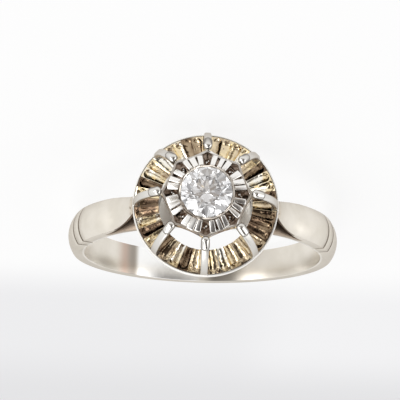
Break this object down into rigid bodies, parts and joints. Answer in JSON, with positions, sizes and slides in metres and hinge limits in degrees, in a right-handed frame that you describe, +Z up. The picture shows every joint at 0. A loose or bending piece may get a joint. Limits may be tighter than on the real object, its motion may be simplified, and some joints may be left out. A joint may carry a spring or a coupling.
{
  "type": "diamond ring with a two-tier illusion setting",
  "caption": "White gold solitaire ring with leaf shoulders, a fluted round cup and eight arched claws that hold a raised octagonal bright-cut plate round a brilliant; it lies on its side.",
  "frame": {"origin": "middle of the underside of the ring's box, on the surface it lies on", "axes": "+Z up from the surface, -Y from the finger hole towards the stone, X across the ring"},
  "size_m": [0.0196, 0.024, 0.0098],
  "materials": {
    "satin_white_gold": "worn satin polish, warm white",
    "plain_white_gold": "plain polish, a little dull",
    "fluted_white_gold": "mirror polish in the flutes, pale gold tint",
    "polished_white_gold": "bright polish",
    "bright_cut_white_gold": "mirror-bright cut facets",
    "diamond": "clear, cut and polished"
  },
  "bodies": {
    "root": {"shank": "satin_white_gold", "collet": "plain_white_gold", "fluted_cup": "fluted_white_gold", "claw_crown": "polished_white_gold", "illusion_plate": "bright_cut_white_gold", "diamond": "diamond"}
  },
  "joints": []
}
